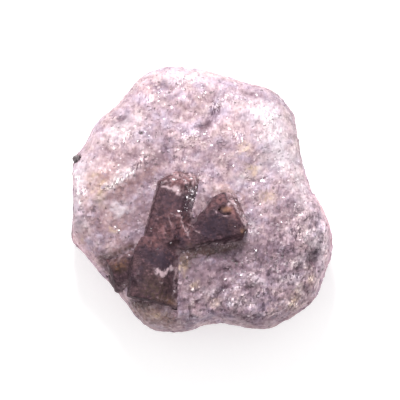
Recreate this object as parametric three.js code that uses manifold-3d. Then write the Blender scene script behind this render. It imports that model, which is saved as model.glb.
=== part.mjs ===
// A staurolite cross in its matrix: two brown prisms grown through each other at about 60 degrees,
// set in the top of a rounded slab of muscovite schist, with one dark mineral grain in the slab's rim.
// Millimetres, +Z up. The slab lies on its flat underside, and the long prism runs along Y, leaning to +X.
import * as THREE from "three";
import { mergeVertices } from "three/addons/utils/BufferGeometryUtils.js";
import Module from "manifold-3d";

const wasm = await Module();
wasm.setup();

// The slab.
const SLAB_THICKNESS = 21.6;
const RIM_HEIGHT = 12; // where the slab is widest
const SHOULDER_POWER = 12; // a higher power makes the top flatter and the shoulder tighter
const BASE_SHARE = 0.7; // radius of the flat underside, as a share of the outline's
const SEGMENTS = 84;
const FLANK_RINGS = 6;
const CROWN_RINGS = 16;
const BREAK_PLACE = new THREE.Vector3(-32.3, 0, RIM_HEIGHT); // a nearly upright break on the left side
const BREAK_NORMAL = new THREE.Vector3(-1, 0.01, 0.05).normalize();

// The crystals.
const CLEARANCE = 0.3; // between a crystal and its socket
const PRISM_ANGLE = 50.67; // between the normals of neighbouring {110} faces
const SIDE_ANGLE = 64.665; // between the normals of a {110} and a {010} face
const TWIN_ANGLE = 60; // between the two long axes
const HALF_THICKNESS = 4; // from a prism's axis to its {110} faces
const LOWER_HALF_THICKNESS = 4.8; // the long prism is stouter in its lower arm
const LONG_AZIMUTH = 75.2;
const LONG_BEND = 9; // the long prism's two arms are this much out of line
const CROSS_BEND = 8;
const LONG_TILT = -3; // its upper end is the deeper one
const CROSS_TILT = 12;

// The grain.
const GRAIN_RADIUS = 1.1;
const GRAIN_PLACE = new THREE.Vector3(-31.1, 9.2, 18.9);

// Corners of the slab's outline, anticlockwise from the right. The left side is then broken off.
const OUTLINE = [
  [27.5, 1.8], [25.8, 6.4], [24.3, 12.9], [23.0, 18.2], [20.9, 23.6], [17.0, 27.3],
  [11.0, 29.1], [5.4, 30.6], [-0.4, 32.1], [-6.4, 32.8], [-11.9, 32.1], [-15.5, 29.9],
  [-18.5, 26.8], [-25.3, 20.7], [-28.0, 16.6], [-30.2, 13.0], [-33.4, 9.3], [-36.8, 4.5],
  [-37.8, -1.0], [-36.0, -6.2], [-33.0, -10.0], [-27.3, -16.1], [-20.0, -24.4], [-16.5, -28.9],
  [-13.3, -31.5], [-8.8, -32.8], [-4.2, -32.7], [-0.4, -31.4], [3.6, -30.6], [8.4, -31.2],
  [13.8, -31.9], [18.3, -30.9], [27.1, -25.6], [29.1, -22.0], [31.8, -13.5], [32.4, -9.0],
  [31.3, -4.6],
];

// Swells and hollows of the upper surface: where, how far they reach, and how high they rise.
const RELIEF = [
  { x: -13, y: -27, reach: 7, rise: 0.7 }, // schist banked up under the long prism
  { x: -1.2, y: -4, reach: 3.6, rise: 3.4 }, // wedge of schist between two arms
  { x: -24, y: -17.5, reach: 5, rise: -1.4 },
  { x: 17, y: 20, reach: 9, rise: 0.6 },
  { x: -22, y: 4, reach: 7, rise: 0.9 },
  { x: -34, y: 0, reach: 9, rise: 1.2 },
  { x: 7, y: -25, reach: 6, rise: 0.8 },
  { x: 25, y: -7, reach: 5, rise: 0.8 },
  { x: 0.6, y: 19.2, reach: 3.4, rise: -1.4 },
  { x: -20, y: 20, reach: 3.6, rise: -0.9 },
  { x: -12.5, y: 10.5, reach: 4.5, rise: -1.0 },
  { x: 28.2, y: -14.4, reach: 2.4, rise: -1.8 },
  { x: 16, y: 9, reach: 2.6, rise: -0.7 },
  { x: 7, y: -14.5, reach: 4, rise: -1.0 },
  { x: -11, y: 28, reach: 4, rise: -0.8 },
];

const rad = THREE.MathUtils.degToRad;

function reliefAt(x, y) {
  let rise = 0;
  for (const r of RELIEF) {
    const distance2 = ((x - r.x) ** 2 + (y - r.y) ** 2) / r.reach ** 2;
    rise += r.rise * Math.exp(-distance2);
  }
  return rise;
}

// Underside, flank and crown as rings of the outline, closed by a point at each middle.
function slabGeometry() {
  const corners = OUTLINE.map(([x, y]) => new THREE.Vector3(x, y, 0));
  const edge = new THREE.CatmullRomCurve3(corners, true, "centripetal").getSpacedPoints(SEGMENTS);
  edge.pop();
  const places = [0, 0, 0];
  const addRing = (shareAt, height, relief) => {
    edge.forEach((p, i) => {
      const share = shareAt((2 * Math.PI * i) / SEGMENTS);
      const [x, y] = [p.x * share, p.y * share];
      places.push(x, y, height + relief * reliefAt(x, y));
    });
  };
  const baseShare = (turn) => BASE_SHARE + 0.05 * Math.sin(3 * turn + 1) + 0.03 * Math.sin(5 * turn);
  for (let ring = 0; ring <= FLANK_RINGS; ring++) {
    const lift = (ring / FLANK_RINGS) * (Math.PI / 2);
    const share = (turn) => baseShare(turn) + (1 - baseShare(turn)) * Math.sin(lift);
    addRing(share, RIM_HEIGHT * (1 - Math.cos(lift)), 0);
  }
  for (let ring = 1; ring < CROWN_RINGS; ring++) {
    const share = Math.cos((ring / CROWN_RINGS) * (Math.PI / 2)) ** 0.6;
    const crown = Math.sqrt(1 - share ** SHOULDER_POWER);
    addRing(() => share, RIM_HEIGHT + (SLAB_THICKNESS - RIM_HEIGHT) * crown, crown);
  }
  places.push(0, 0, SLAB_THICKNESS + reliefAt(0, 0));
  const rings = FLANK_RINGS + CROWN_RINGS;
  const last = 1 + (rings - 1) * SEGMENTS;
  const index = [];
  for (let i = 0; i < SEGMENTS; i++) {
    const next = (i + 1) % SEGMENTS;
    index.push(0, 1 + next, 1 + i);
    for (let a = 1; a < last; a += SEGMENTS) {
      const b = a + SEGMENTS;
      index.push(a + i, a + next, b + next, a + i, b + next, b + i);
    }
    index.push(last + i, last + next, last + SEGMENTS);
  }
  const geometry = new THREE.BufferGeometry();
  geometry.setAttribute("position", new THREE.Float32BufferAttribute(places, 3));
  geometry.setIndex(index);
  return geometry;
}

function toSolid(geometry) {
  const bare = geometry.clone();
  bare.deleteAttribute("normal");
  bare.deleteAttribute("uv");
  const merged = mergeVertices(bare, 1e-4);
  const vertProperties = new Float32Array(merged.attributes.position.array);
  const triVerts = new Uint32Array(merged.index.array);
  return new wasm.Manifold(new wasm.Mesh({ numProp: 3, vertProperties, triVerts }));
}

function toGeometry(solid) {
  const mesh = solid.getMesh();
  const geometry = new THREE.BufferGeometry();
  geometry.setAttribute("position", new THREE.Float32BufferAttribute(mesh.vertProperties, 3));
  geometry.setIndex(new THREE.BufferAttribute(mesh.triVerts, 1));
  return geometry;
}

// A staurolite prism's section: four {110} faces, one of them on top, and two {010} faces at the sides.
// halfWidth is from the axis to a side edge. gentle, 1 or -1, is the side where the top's {110} neighbour is.
function prismSection(halfWidth, halfThickness, gentle) {
  const [sin1, cos1] = [Math.sin(rad(PRISM_ANGLE)), Math.cos(rad(PRISM_ANGLE))];
  const [sin2, cos2] = [Math.sin(rad(SIDE_ANGLE)), Math.cos(rad(SIDE_ANGLE))];
  const sideEdge = (halfThickness - halfWidth * sin1) / cos1;
  const sideDistance = halfWidth * sin2 - sideEdge * cos2;
  const gentleEdge = (halfThickness * (1 - cos1)) / sin1;
  const steepEdge = (sideDistance - halfThickness * cos2) / sin2;
  const half = [
    [-steepEdge, halfThickness],
    [gentleEdge, halfThickness],
    [halfWidth, sideEdge],
  ];
  const all = [...half, ...half.map(([x, y]) => [-x, -y])];
  return new THREE.Shape(all.map(([x, y]) => new THREE.Vector2(x * gentle, y)));
}

// Splits off what lies beyond a plane.
function cleave(solid, place, normal) {
  const size = 60;
  const block = new THREE.BoxGeometry(size, size, size).translate(0, 0, size / 2);
  block.applyQuaternion(new THREE.Quaternion().setFromUnitVectors(new THREE.Vector3(0, 0, 1), normal));
  block.translate(place.x, place.y, place.z);
  return solid.subtract(toSolid(block));
}

// One arm of a prism from its root to its tip, smaller by inset all round.
function armSolid(arm, inset) {
  const along = new THREE.Vector3(
    Math.cos(rad(arm.azimuth)) * Math.cos(rad(arm.tilt)),
    Math.sin(rad(arm.azimuth)) * Math.cos(rad(arm.tilt)),
    Math.sin(rad(arm.tilt)),
  );
  const side = new THREE.Vector3(0, 0, 1).cross(along).normalize().applyAxisAngle(along, rad(arm.roll));
  const up = along.clone().cross(side);
  const root = new THREE.Vector3(...arm.root);
  const section = prismSection(arm.rootHalfWidth - inset, arm.halfThickness - inset, arm.gentle);
  const geometry = new THREE.ExtrudeGeometry(section, { depth: arm.length, steps: 1, bevelEnabled: false });
  const places = geometry.attributes.position;
  for (let i = 0; i < places.count; i++) {
    const share = places.getZ(i) / arm.length;
    places.setX(i, places.getX(i) * (1 + share * (arm.tipHalfWidth / arm.rootHalfWidth - 1)));
  }
  geometry.applyMatrix4(new THREE.Matrix4().makeBasis(side, up, along).setPosition(root));
  let solid = toSolid(geometry);
  for (const cut of arm.cuts) {
    const normal = along.clone().multiplyScalar(cut.along);
    normal.addScaledVector(side, cut.side).addScaledVector(up, cut.up).normalize();
    const place = root.clone().addScaledVector(along, cut.at).addScaledVector(up, cut.above);
    solid = cleave(solid, place.addScaledVector(normal, -inset), normal);
  }
  return solid;
}

// The cross prism's azimuth, at which the two axes make the twin angle.
const crossAzimuth = (() => {
  const [a, b] = [rad(LONG_TILT), rad(CROSS_TILT)];
  const cosine = (Math.cos(rad(TWIN_ANGLE)) - Math.sin(a) * Math.sin(b)) / (Math.cos(a) * Math.cos(b));
  return LONG_AZIMUTH - THREE.MathUtils.radToDeg(Math.acos(cosine));
})();

// A cut is a plane: at and above say where it crosses the axis, and along, side and up which way it faces.
const ARMS = [
  {
    // The long prism's upper arm, whose end is worn to a slope.
    root: [-9.6, -14.6, 21.4],
    azimuth: LONG_AZIMUTH,
    tilt: LONG_TILT,
    roll: -8,
    length: 24,
    halfThickness: HALF_THICKNESS,
    rootHalfWidth: 6,
    tipHalfWidth: 6.3,
    gentle: -1,
    cuts: [
      { at: 1.4, above: 0, along: -0.8, side: -0.6, up: 0 },
      { at: 18.2, above: HALF_THICKNESS, along: 0.7, side: 0, up: 0.71 },
      { at: 22, above: 2.4, along: 0.7, side: 0.6, up: 0.4 },
      { at: 22.3, above: 2.4, along: 0.7, side: -0.5, up: 0.45 },
      { at: 22, above: 0, along: 1, side: 0, up: 0 },
    ],
  },
  {
    // The long prism's lower arm, bent a little from the upper one, with a square end.
    root: [-10.7, -11, 20.4],
    azimuth: LONG_AZIMUTH + LONG_BEND + 180,
    tilt: -LONG_TILT,
    roll: 6,
    length: 17,
    halfThickness: LOWER_HALF_THICKNESS,
    rootHalfWidth: 7.15,
    tipHalfWidth: 6.5,
    gentle: 1,
    cuts: [
      { at: 15.9, above: 0, along: 1, side: -0.12, up: 0.04 },
      { at: -9.5, above: 0, along: -0.39, side: -0.92, up: 0 },
    ],
  },
  {
    // The cross prism's free arm, which rises out of the schist to a slanting end.
    root: [-9.2, -10.3, 18.9],
    azimuth: crossAzimuth,
    tilt: CROSS_TILT,
    roll: 12,
    length: 22,
    halfThickness: HALF_THICKNESS,
    rootHalfWidth: 5.2,
    tipHalfWidth: 7.2,
    gentle: 1,
    cuts: [
      { at: 20, above: 0, along: 0.96, side: 0.12, up: 0.25 },
      { at: 21.3, above: 0, along: 0.85, side: 0.45, up: 0.28 },
      { at: 25.2, above: 0, along: 0.67, side: -0.72, up: 0.15 },
      { at: 3.2, above: 0, along: -0.45, side: 0.83, up: 0.33 },
      { at: 17.8, above: HALF_THICKNESS, along: 0.5, side: 0.38, up: 0.78 },
    ],
  },
  {
    // The cross prism's other arm, grown out of line and worn off flush with the slab's rim.
    root: [-9.6, -13.2, 20],
    azimuth: crossAzimuth + CROSS_BEND + 180,
    tilt: -CROSS_TILT,
    roll: -6,
    length: 20,
    halfThickness: HALF_THICKNESS,
    rootHalfWidth: 5.4,
    tipHalfWidth: 5.6,
    gentle: -1,
    cuts: [
      { at: 15.1, above: 0, along: 0.85, side: -0.12, up: 0.35 },
      { at: 13.6, above: HALF_THICKNESS, along: 0.6, side: 0.3, up: 0.7 },
    ],
  },
];

function twinSolid(inset) {
  return ARMS.map((arm) => armSolid(arm, inset)).reduce((whole, arm) => whole.add(arm));
}

// A worn grain, nearly round.
function grainGeometry(radius) {
  return new THREE.DodecahedronGeometry(radius).translate(...GRAIN_PLACE.toArray());
}

function stone(colour, roughness) {
  return new THREE.MeshStandardMaterial({ color: colour, roughness, metalness: 0 });
}

const sockets = twinSolid(0).add(toSolid(grainGeometry(GRAIN_RADIUS + CLEARANCE)));
const slab = cleave(toSolid(slabGeometry()), BREAK_PLACE, BREAK_NORMAL);
const matrix = new THREE.Mesh(toGeometry(slab.subtract(sockets)), stone(0xcbb4c0, 0.6));
matrix.name = "schist_matrix";
const twin = new THREE.Mesh(toGeometry(twinSolid(CLEARANCE)), stone(0x4c3a3e, 0.55));
twin.name = "staurolite_twin";
const grain = new THREE.Mesh(grainGeometry(GRAIN_RADIUS), stone(0x4a3037, 0.4));
grain.name = "rim_grain";

const specimen = new THREE.Group();
specimen.add(matrix, twin, grain);

// The origin is under the middle of the whole, on the surface that it lies on.
const middle = new THREE.Box3().setFromObject(specimen).getCenter(new THREE.Vector3());
specimen.children.forEach((mesh) => mesh.position.set(-middle.x, -middle.y, 0));

export default specimen;
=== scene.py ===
import math

import bmesh
import bpy
import numpy as np
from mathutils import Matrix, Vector
from mathutils.bvhtree import BVHTree


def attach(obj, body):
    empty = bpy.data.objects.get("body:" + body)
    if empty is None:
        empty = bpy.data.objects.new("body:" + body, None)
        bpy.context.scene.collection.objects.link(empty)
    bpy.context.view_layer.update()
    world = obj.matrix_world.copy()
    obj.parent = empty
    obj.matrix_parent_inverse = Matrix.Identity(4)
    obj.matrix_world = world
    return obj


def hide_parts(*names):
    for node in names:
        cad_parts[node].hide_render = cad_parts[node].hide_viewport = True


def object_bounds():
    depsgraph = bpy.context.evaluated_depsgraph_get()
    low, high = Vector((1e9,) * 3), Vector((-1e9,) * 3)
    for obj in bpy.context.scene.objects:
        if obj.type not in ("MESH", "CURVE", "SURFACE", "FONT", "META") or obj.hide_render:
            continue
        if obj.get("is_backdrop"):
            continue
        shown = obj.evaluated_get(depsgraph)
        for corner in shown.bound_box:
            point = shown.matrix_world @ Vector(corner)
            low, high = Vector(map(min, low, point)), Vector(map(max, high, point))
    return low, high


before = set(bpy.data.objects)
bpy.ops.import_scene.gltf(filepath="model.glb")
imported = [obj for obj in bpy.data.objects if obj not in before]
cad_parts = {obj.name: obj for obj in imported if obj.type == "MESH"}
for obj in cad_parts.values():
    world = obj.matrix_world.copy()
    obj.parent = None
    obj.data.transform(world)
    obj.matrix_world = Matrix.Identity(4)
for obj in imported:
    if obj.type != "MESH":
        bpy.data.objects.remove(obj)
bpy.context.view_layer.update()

# ---------------------------------------------------------------- the slab of schist
# A loose cobble of muscovite schist, split along its layers and rounded by wear. Its face is a felt of
# silvery pink mica and quartz grains, and its flank shows the edges of the layers.
MM = 0.001
SLAB_VOXEL = 0.33 * MM
RIM_HEIGHT = 19
LAYER_THICKNESS = 1.7
THIN_LAYER = 0.37 * LAYER_THICKNESS
# The schist closes on the crystals within this reach, above the height of the socket's floor.
BANK_REACH = 1.3
BANK_PULL = 0.6
SOCKET_FLOOR = 8

# How far the rim stands out or in from an even curve, at each step round from +X.
RIM_STEP = 12
RIM = [
    -0.2, -0.8, -0.7, 0.0, 0.2, 0.3, -0.3, 0.0, 0.0, 0.1, 0.2, -0.7, -0.4, -0.5, -0.2,
    -0.5, -0.5, -0.3, 0.0, 0.0, 0.4, 0.5, 0.4, 0.0, 0.6, 0.4, 0.3, -0.3, 0.0, -0.8,
]
# Hollows of the face, and swells where the depth is negative: x, y, half sizes along and across, turn in
# degrees, depth.
HOLLOWS = [
    (-19.9, 18.5, 1.8, 1.0, 25, 0.3), (0.6, 17.0, 1.4, 0.7, 20, 0.4), (3.4, 20.6, 1.8, 1.4, 40, 0.35),
    (-2.8, 14.9, 2.4, 0.9, 15, -0.5), (13.6, 25.1, 3.4, 0.8, -10, 0.5), (27.9, -15.4, 1.5, 2.2, 10, 1.5),
    (8.4, -16.1, 0.9, 0.35, -20, 0.9), (-2.8, -28.8, 0.4, 2.2, 8, 0.6), (16.8, 7.4, 1.9, 1.1, -30, 0.5),
    (-9.4, 27.2, 2.4, 0.8, 20, 0.25), (5.6, 1.4, 2.2, 0.9, -5, -0.7), (-14.8, 15.4, 0.5, 0.4, 0, 0.4),
    (23.7, -17.8, 1.5, 0.9, 20, 0.7), (15.1, -16.0, 1.5, 1.7, 0, 0.4), (5.8, -22.5, 0.9, 1.1, 0, 0.6),
    (12.3, -22.9, 1.1, 1.4, 0, 0.6), (-0.9, -26.2, 0.7, 1.0, 0, 0.5), (8.0, -1.0, 1.0, 0.5, -35, 0.4),
    (4.5, -14.8, 5.0, 1.2, 8, 0.7),
]

# Folds of the face, and creases where the height is negative: the line that each follows, half width, height.
FOLDS = [
    ([(-30.5, -6.5), (-27.4, -2.6), (-24.9, 1.3), (-21.2, 4.4), (-18.0, 6.6), (-14.6, 9.0)], 1.3, 0.6),
    ([(-25.4, -4.6), (-21.4, -2.2), (-17.9, 2.0), (-13.4, 3.8), (-12.0, 7.4), (-8.7, 9.6)], 2.4, -0.5),
    ([(-8.9, 11.2), (-6.0, 11.9), (-2.6, 11.3)], 0.35, -0.25),
    ([(-1.6, 16.3), (0.9, 17.4), (2.6, 19.0), (4.0, 21.6)], 0.5, -0.5),
    ([(-22.4, 17.2), (-20.0, 18.8), (-17.6, 20.2)], 0.6, -0.45),
    ([(-18.9, 10.2), (-16.0, 9.4), (-13.2, 9.8)], 0.5, -0.4),
    ([(-12.4, 26.4), (-9.6, 27.4), (-7.4, 26.2)], 0.5, -0.35),
    ([(-24.0, 12.4), (-22.4, 10.6), (-22.0, 8.4)], 0.5, -0.4),
    ([(9.0, 4.0), (12.6, 3.0), (15.4, 4.2)], 0.6, -0.35),
    ([(4.4, -18.6), (8.6, -17.4), (11.6, -18.8)], 0.7, -0.5),
    ([(3.4, -24.2), (7.0, -22.4), (10.6, -23.0)], 0.7, -0.5),
    ([(-27.5, 13.5), (-22.6, 16.4), (-18.6, 20.6)], 1.3, 0.4),
    ([(-8.0, 14.6), (-4.2, 16.6), (-1.4, 16.2)], 0.9, 0.5),
    ([(6.0, 18.4), (10.4, 20.0), (14.6, 19.0)], 1.4, 0.4),
    ([(7.2, 1.3), (8.4, 0.5), (9.7, -0.7), (10.0, -1.9)], 0.35, 0.45),
    ([(13.0, -21.4), (19.5, -19.2), (24.4, -14.6)], 1.0, 0.5),
    ([(-2.4, -25.4), (4.0, -22.6), (10.4, -23.6)], 1.0, 0.4),
    ([(20.4, -9.4), (25.0, -5.6), (27.2, -1.4)], 1.1, 0.4),
    ([(-5.6, -29.6), (4.8, -28.4), (15.4, -28.6), (22.4, -26.2)], 0.7, 0.45),
]


def hashed(cells, seed):
    """A repeatable random number from 0 to 1 for each cell of whole numbers."""
    whole = cells.astype(np.int64)
    mixed = whole[..., 0] * 73856093 ^ whole[..., 1] * 19349663 ^ whole[..., 2] * 83492791 ^ seed * 2654435761
    mixed = (mixed ^ (mixed >> 13)) * 1274126177 & 0xFFFFFFFF
    mixed = (mixed ^ (mixed >> 16)) * 2246822519 & 0xFFFFFFFF
    return ((mixed ^ (mixed >> 15)) & 0xFFFFFFFF) / 0xFFFFFFFF


def swell(points, seed):
    """Smooth noise from about -1 to 1 whose bumps are one unit across."""
    cell = np.floor(points)
    part = points - cell
    fade = part * part * part * (part * (part * 6 - 15) + 10)
    total = np.zeros(len(points))
    for corner in np.ndindex(2, 2, 2):
        corner = np.array(corner)
        slope = np.stack([hashed(cell + corner, seed * 3 + k) for k in range(3)], 1) * 2 - 1
        share = np.prod(np.where(corner, fade, 1 - fade), 1)
        total += share * ((part - corner) * slope).sum(1)
    return total * 1.6


def rough(points, seed, octaves=3):
    """Several sizes of swell, each half as large and half as high as the last."""
    return sum(swell(points * 2**k, seed + 11 * k) / 2**k for k in range(octaves))


def grains(points, seed):
    """The grain that each point is in: three random numbers, the way from its middle, how far its edge is."""
    cell = np.floor(points)
    nearest = np.full(len(points), 9.0)
    second = np.full(len(points), 9.0)
    lot = np.zeros((len(points), 3))
    away = np.zeros((len(points), 3))
    for step in np.ndindex(3, 3, 3):
        here = cell + np.array(step) - 1
        chance = np.stack([hashed(here, seed * 5 + k) for k in range(3)], 1)
        apart = points - (here + chance)
        distance = np.sqrt((apart * apart).sum(1))
        closer = distance < nearest
        second = np.where(closer, nearest, np.minimum(second, distance))
        nearest = np.where(closer, distance, nearest)
        lot[closer] = chance[closer]
        away[closer] = apart[closer]
    return lot, away, second - nearest


def stretched(points, turn, longer):
    """Points drawn together along the direction turn, in degrees, so that noise read there is longer."""
    cosine, sine = math.cos(math.radians(turn)), math.sin(math.radians(turn))
    along = points[:, 0] * cosine + points[:, 1] * sine
    across = points[:, 1] * cosine - points[:, 0] * sine
    return np.stack([along / longer, across, points[:, 2]], 1)


def oval(points, at, half, turn):
    """1 at the middle of an oval spot in plan, falling smoothly to 0 a little beyond its edge."""
    flat = np.stack([points[:, 0] - at[0], points[:, 1] - at[1], points[:, 2]], 1)
    near = stretched(flat, turn, 1)
    return np.exp(-((near[:, 0] / half[0]) ** 2) - (near[:, 1] / half[1]) ** 2)


def beside(points, line):
    """How far each point is, in plan, from a line of straight stretches."""
    nearest = np.full(len(points), np.inf)
    for start, end in zip(np.array(line[:-1], float), np.array(line[1:], float)):
        stretch = end - start
        share = np.clip(((points[:, :2] - start) @ stretch) / (stretch @ stretch), 0, 1)
        apart = points[:, :2] - start - share[:, None] * stretch
        nearest = np.minimum(nearest, np.linalg.norm(apart, axis=1))
    return nearest


def apply_modifiers(piece):
    """Turns what a piece's modifiers make into its own mesh."""
    first = piece.data
    piece.data = bpy.data.meshes.new_from_object(piece.evaluated_get(bpy.context.evaluated_depsgraph_get()))
    piece.data.name = piece.name
    piece.modifiers.clear()
    bpy.data.meshes.remove(first)


def fine_copy(node, name, voxel):
    """A new piece in the shape of a CAD node, as a fine even mesh."""
    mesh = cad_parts[node].data.copy()
    made = bmesh.new()
    made.from_mesh(mesh)
    bmesh.ops.remove_doubles(made, verts=made.verts, dist=1e-6)
    made.to_mesh(mesh)
    made.free()
    mesh.materials.clear()
    piece = bpy.data.objects.new(name, mesh)
    bpy.context.scene.collection.objects.link(piece)
    remesh = piece.modifiers.new("even", "REMESH")
    remesh.mode = "VOXEL"
    remesh.voxel_size = voxel
    remesh.use_smooth_shade = True
    apply_modifiers(piece)
    return piece


def places_of(mesh):
    """Each vertex's place, in millimetres, and its normal."""
    places = np.empty(len(mesh.vertices) * 3)
    normals = np.empty(len(mesh.vertices) * 3)
    mesh.vertices.foreach_get("co", places)
    mesh.vertices.foreach_get("normal", normals)
    return places.reshape(-1, 3) / MM, normals.reshape(-1, 3)


def move_to(mesh, places):
    """Puts each vertex at its place, in millimetres."""
    mesh.vertices.foreach_set("co", (places * MM).ravel())
    mesh.update()


def eased(mesh, places, rounds):
    """Places evened out between neighbours for so many rounds, which rounds the edges."""
    edges = np.empty(len(mesh.edges) * 2, np.int64)
    mesh.edges.foreach_get("vertices", edges)
    a, b = edges.reshape(-1, 2).T
    count = np.bincount(np.concatenate([a, b]), minlength=len(places))[:, None]
    for _ in range(rounds):
        total = np.zeros_like(places)
        np.add.at(total, a, places[b])
        np.add.at(total, b, places[a])
        places = 0.5 * places + 0.5 * total / count
    return places


def mark(mesh, name, values):
    """Keeps a value from 0 to 1 on each vertex for the material to read."""
    mesh.attributes.new(name, "FLOAT", "POINT").data.foreach_set("value", values.astype(np.float32))


def tree_of(mesh):
    """A mesh as a search tree of its faces."""
    return BVHTree.FromPolygons([v.co for v in mesh.vertices], [p.vertices[:] for p in mesh.polygons])


slab = fine_copy("schist_matrix", "schist_slab", SLAB_VOXEL)
twin_tree = tree_of(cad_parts["staurolite_twin"].data)
places, outward = places_of(slab.data)
flank = np.clip(1.15 - np.abs(outward[:, 2]) * 1.3, 0, 1)
upper = np.clip((outward[:, 2] - 0.2) / 0.5, 0, 1) * np.clip((places[:, 2] - 12) / 3, 0, 1)
under = np.clip(-outward[:, 2] * 3, 0, 1) * np.clip(1 - places[:, 2], 0, 1)

# The rim's bays and bulges fade towards the middle, and at the foot of the twin's lower arm.
bearing = np.degrees(np.arctan2(places[:, 1], places[:, 0])) % 360
radius = np.linalg.norm(places[:, :2], axis=1)
around = np.arange(len(RIM) + 1) * RIM_STEP
stand = np.interp(bearing, around, RIM + RIM[:1]) * np.clip(radius / 30, 0, 1) ** 4
stand *= 1 - oval(places, (-9.0, -24.0), (9.0, 6.5), 0)
places[:, :2] *= (1 + stand / np.maximum(radius, 1))[:, None]

# Hollows and swells of the face.
height = np.zeros(len(places))
for x, y, along, across, turn, deep in HOLLOWS:
    height -= deep * upper * oval(places, (x, y), (along, across), turn)
wander = 1.3 * np.stack([rough(places / 3, 14 + k, 3) for k in range(3)], 1)
for line, half, high in FOLDS:
    height += high * upper * np.exp(-((beside(places + wander * min(half, 1), line) / half) ** 2))
# Broad waves, then knots and ribs of mica along the grain of the rock, and coarser knots at the lower right.
height += 0.30 * rough(places / 9, 1, 2)
ribs = rough(stretched(places, 35, 2.2) / 2.6, 5, 3)
coarse = 1 + 1.0 * np.clip((places[:, 0] - places[:, 1] - 6) / 30, 0, 1)
height += 0.19 * ribs * (0.7 + 0.3 * coarse) * (1 - under)
knots = rough(places / 1.5, 9, 2)
height += 0.13 * knots * (0.6 + 0.4 * coarse) * (1 - under) * (1 - 0.5 * flank)
# Each flake lies at its own tilt.
lot, away, edge = grains(stretched(places, 35, 1.3) / 1.05, 21)
tilt = ((lot - 0.5) * away).sum(1)
flakes = 0.27 * tilt * (0.6 + 0.4 * coarse) - 0.09 * np.exp(-edge / 0.08)
height += flakes * (1 - under) * (1 - 0.5 * flank)
# The flank steps in and out from layer to layer.
layer = places[:, 2] + 0.09 * places[:, 0] + 0.05 * places[:, 1] + 0.9 * rough(places / 12, 31, 2)
step = layer / LAYER_THICKNESS
level = np.floor(step)
thin = (layer + 0.4 * rough(places / 5, 35, 2)) / THIN_LAYER
ledge = np.stack([level, np.zeros(len(step)), np.zeros(len(step))], 1)
jut = hashed(ledge, 41) - 0.5 + 0.5 * swell(np.stack([places[:, 0] / 6, places[:, 1] / 6, level * 5], 1), 43)
rounded = 1 - np.abs(2 * (step - level) - 1) ** 4
leaves = np.abs(swell(np.stack([places[:, 0] / 4, places[:, 1] / 4, thin], 1), 47))
ledges = 0.6 * jut * rounded - 0.35 * (1 - rounded) + 0.12 * leaves
height += flank * np.clip((RIM_HEIGHT - places[:, 2]) / 7, 0.3, 1) * ledges
places = places + outward * height[:, None] * (1 - 0.85 * under)[:, None]

# Near the crystals the schist is drawn in past the socket's gap.
bank = np.zeros(len(places))
for i, place in enumerate(places):
    if place[2] < SOCKET_FLOOR:
        continue
    near, _, _, distance = twin_tree.find_nearest(Vector(place * MM), BANK_REACH * MM)
    if near is not None:
        share = bank[i] = 1 - distance / (BANK_REACH * MM)
        pull = BANK_PULL * min(1, share * 1.6)
        towards = np.array(near) / MM - place
        places[i] = place + towards / (np.linalg.norm(towards) + 1e-6) * pull

places[:, 2] = np.maximum(places[:, 2], 0)
move_to(slab.data, places)

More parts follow.
